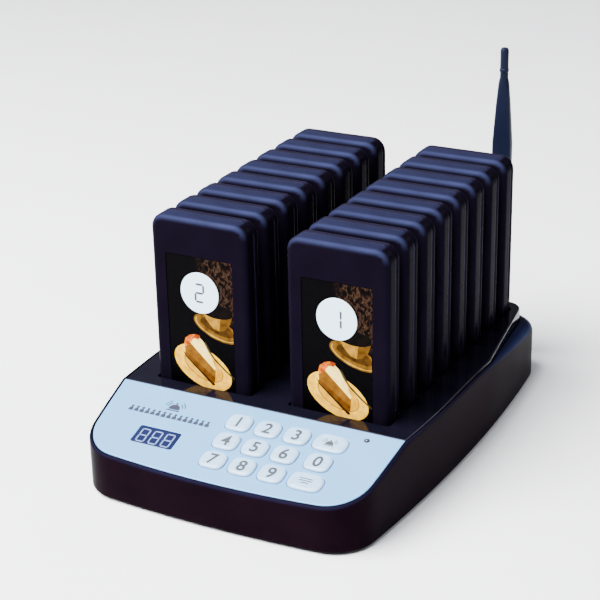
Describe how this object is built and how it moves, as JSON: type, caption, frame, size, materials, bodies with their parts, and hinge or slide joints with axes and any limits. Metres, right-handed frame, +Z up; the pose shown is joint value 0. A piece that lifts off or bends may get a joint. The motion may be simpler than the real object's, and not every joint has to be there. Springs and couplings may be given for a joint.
{
  "type": "table pager set with charging base",
  "caption": "Guest-calling set: sloped keypad base with a charging deck, upright slab pagers that lift out of their slots, and a folding paddle antenna.",
  "frame": {"origin": "centre of the whole set seen from above, on the table under the feet", "axes": "+Z up, -Y out of the keypad side, +X to the right of a person facing the keypad"},
  "size_m": [0.1536, 0.238, 0.1655],
  "materials": {
    "cover_plastic": "fine texture",
    "case_plastic": "satin gloss, dark brown black",
    "deck_plastic": "high gloss, dark navy",
    "panel_plastic": "satin silver blue",
    "display_glass": "clear blue window",
    "display_body": "dark blue",
    "lit_digits": "lit bars",
    "silicone": "soft silicone",
    "circuit_board": "solder mask",
    "shield_metal": "pressed tin",
    "contact_brass": "gold plated",
    "red_lamp": "tinted lamp",
    "screw_steel": "plated",
    "foot_rubber": "matt rubber",
    "fitting_plastic": "satin black",
    "rocker_plastic": "satin black",
    "antenna_plastic": "satin black",
    "pager_shell": "gloss, purplish black",
    "pager_back": "satin, purplish black",
    "picture_card": "printed and laminated",
    "number_disc": "white",
    "battery_foil": "foil pouch",
    "key_plastic": "milky white"
  },
  "bodies": {
    "base": {"bottom_cover": "cover_plastic", "upper_case": "case_plastic", "charging_deck": "deck_plastic", "keypad_panel": "panel_plastic", "display_lens": "display_glass", "display_module": "display_body", "display_digits": "lit_digits", "keypad_mat": "silicone", "main_board": "circuit_board", "radio_module": "shield_metal", "charging_board": "circuit_board", "charging_pins": "contact_brass", "status_lamp": "red_lamp", "case_screws": "screw_steel", "rubber_feet": "foot_rubber", "dc_inlet": "fitting_plastic", "switch_frame": "fitting_plastic", "antenna_connector": "contact_brass"},
    "antenna_elbow": {"antenna_elbow": "antenna_plastic", "antenna_hinge_pin": "screw_steel"},
    "antenna_blade": {"antenna_blade": "antenna_plastic"},
    "power_rocker": {"power_rocker": "rocker_plastic"},
    "key_0": {"key_0": "key_plastic"},
    "key_1": {"key_1": "key_plastic"},
    "key_2": {"key_2": "key_plastic"},
    "key_3": {"key_3": "key_plastic"},
    "key_4": {"key_4": "key_plastic"},
    "key_5": {"key_5": "key_plastic"},
    "key_6": {"key_6": "key_plastic"},
    "key_7": {"key_7": "key_plastic"},
    "key_8": {"key_8": "key_plastic"},
    "key_9": {"key_9": "key_plastic"},
    "key_call": {"key_call": "key_plastic"},
    "key_function": {"key_function": "key_plastic"},
    "pager_01": {"pager_01_front_shell": "pager_shell", "pager_01_back_shell": "pager_back", "pager_01_card": "picture_card", "pager_01_disc": "number_disc", "pager_01_board": "circuit_board", "pager_01_battery": "battery_foil", "pager_01_motor": "shield_metal", "pager_01_lamps": "red_lamp", "pager_01_contacts": "contact_brass", "pager_01_screws": "screw_steel"},
    "pager_02": {"pager_02": "pager_shell"},
    "pager_03": {"pager_03": "pager_shell"},
    "pager_04": {"pager_04": "pager_shell"},
    "pager_05": {"pager_05": "pager_shell"},
    "pager_06": {"pager_06": "pager_shell"},
    "pager_07": {"pager_07": "pager_shell"},
    "pager_08": {"pager_08": "pager_shell"},
    "pager_09": {"pager_09": "pager_shell"},
    "pager_10": {"pager_10": "pager_shell"},
    "pager_11": {"pager_11": "pager_shell"},
    "pager_12": {"pager_12": "pager_shell"},
    "pager_13": {"pager_13": "pager_shell"},
    "pager_14": {"pager_14": "pager_shell"},
    "pager_15": {"pager_15": "pager_shell"},
    "pager_16": {"pager_16": "pager_shell"}
  },
  "joints": [
    {"name": "key_0_press", "type": "slide", "parent": "base", "child": "key_0", "axis": [0, 0.2924, -0.9563], "range_m": [0, 0.0012], "stiffness_N_per_m": 600},
    {"name": "key_1_press", "type": "slide", "parent": "base", "child": "key_1", "axis": [0, 0.2924, -0.9563], "range_m": [0, 0.0012], "stiffness_N_per_m": 600},
    {"name": "key_2_press", "type": "slide", "parent": "base", "child": "key_2", "axis": [0, 0.2924, -0.9563], "range_m": [0, 0.0012], "stiffness_N_per_m": 600},
    {"name": "key_3_press", "type": "slide", "parent": "base", "child": "key_3", "axis": [0, 0.2924, -0.9563], "range_m": [0, 0.0012], "stiffness_N_per_m": 600},
    {"name": "key_4_press", "type": "slide", "parent": "base", "child": "key_4", "axis": [0, 0.2924, -0.9563], "range_m": [0, 0.0012], "stiffness_N_per_m": 600},
    {"name": "key_5_press", "type": "slide", "parent": "base", "child": "key_5", "axis": [0, 0.2924, -0.9563], "range_m": [0, 0.0012], "stiffness_N_per_m": 600},
    {"name": "key_6_press", "type": "slide", "parent": "base", "child": "key_6", "axis": [0, 0.2924, -0.9563], "range_m": [0, 0.0012], "stiffness_N_per_m": 600},
    {"name": "key_7_press", "type": "slide", "parent": "base", "child": "key_7", "axis": [0, 0.2924, -0.9563], "range_m": [0, 0.0012], "stiffness_N_per_m": 600},
    {"name": "key_8_press", "type": "slide", "parent": "base", "child": "key_8", "axis": [0, 0.2924, -0.9563], "range_m": [0, 0.0012], "stiffness_N_per_m": 600},
    {"name": "key_9_press", "type": "slide", "parent": "base", "child": "key_9", "axis": [0, 0.2924, -0.9563], "range_m": [0, 0.0012], "stiffness_N_per_m": 600},
    {"name": "key_call_press", "type": "slide", "parent": "base", "child": "key_call", "axis": [0, 0.2924, -0.9563], "range_m": [0, 0.0012], "stiffness_N_per_m": 600},
    {"name": "key_function_press", "type": "slide", "parent": "base", "child": "key_function", "axis": [0, 0.2924, -0.9563], "range_m": [0, 0.0012], "stiffness_N_per_m": 600},
    {"name": "pager_01_lift", "type": "slide", "parent": "base", "child": "pager_01", "axis": [0, 0, 1], "range_m": [0, 0.11]},
    {"name": "pager_02_lift", "type": "slide", "parent": "base", "child": "pager_02", "axis": [0, 0, 1], "range_m": [0, 0.11]},
    {"name": "pager_03_lift", "type": "slide", "parent": "base", "child": "pager_03", "axis": [0, 0, 1], "range_m": [0, 0.11]},
    {"name": "pager_04_lift", "type": "slide", "parent": "base", "child": "pager_04", "axis": [0, 0, 1], "range_m": [0, 0.11]},
    {"name": "pager_05_lift", "type": "slide", "parent": "base", "child": "pager_05", "axis": [0, 0, 1], "range_m": [0, 0.11]},
    {"name": "pager_06_lift", "type": "slide", "parent": "base", "child": "pager_06", "axis": [0, 0, 1], "range_m": [0, 0.11]},
    {"name": "pager_07_lift", "type": "slide", "parent": "base", "child": "pager_07", "axis": [0, 0, 1], "range_m": [0, 0.11]},
    {"name": "pager_08_lift", "type": "slide", "parent": "base", "child": "pager_08", "axis": [0, 0, 1], "range_m": [0, 0.11]},
    {"name": "pager_09_lift", "type": "slide", "parent": "base", "child": "pager_09", "axis": [0, 0, 1], "range_m": [0, 0.11]},
    {"name": "pager_10_lift", "type": "slide", "parent": "base", "child": "pager_10", "axis": [0, 0, 1], "range_m": [0, 0.11]},
    {"name": "pager_11_lift", "type": "slide", "parent": "base", "child": "pager_11", "axis": [0, 0, 1], "range_m": [0, 0.11]},
    {"name": "pager_12_lift", "type": "slide", "parent": "base", "child": "pager_12", "axis": [0, 0, 1], "range_m": [0, 0.11]},
    {"name": "pager_13_lift", "type": "slide", "parent": "base", "child": "pager_13", "axis": [0, 0, 1], "range_m": [0, 0.11]},
    {"name": "pager_14_lift", "type": "slide", "parent": "base", "child": "pager_14", "axis": [0, 0, 1], "range_m": [0, 0.11]},
    {"name": "pager_15_lift", "type": "slide", "parent": "base", "child": "pager_15", "axis": [0, 0, 1], "range_m": [0, 0.11]},
    {"name": "pager_16_lift", "type": "slide", "parent": "base", "child": "pager_16", "axis": [0, 0, 1], "range_m": [0, 0.11]},
    {"name": "antenna_swivel", "type": "hinge", "parent": "base", "child": "antenna_elbow", "pos_m": [0.0425, 0.114, 0.0182], "axis": [0, 1, 0], "range_deg": [-90, 90]},
    {"name": "antenna_tilt", "type": "hinge", "parent": "antenna_elbow", "child": "antenna_blade", "pos_m": [0.0425, 0.114, 0.0182], "axis": [-1, 0, 0], "range_deg": [0, 90]},
    {"name": "power_switch", "type": "hinge", "parent": "base", "child": "power_rocker", "pos_m": [-0.04, 0.1025, 0.015], "axis": [-1, 0, 0], "range_deg": [0, 16]}
  ]
}
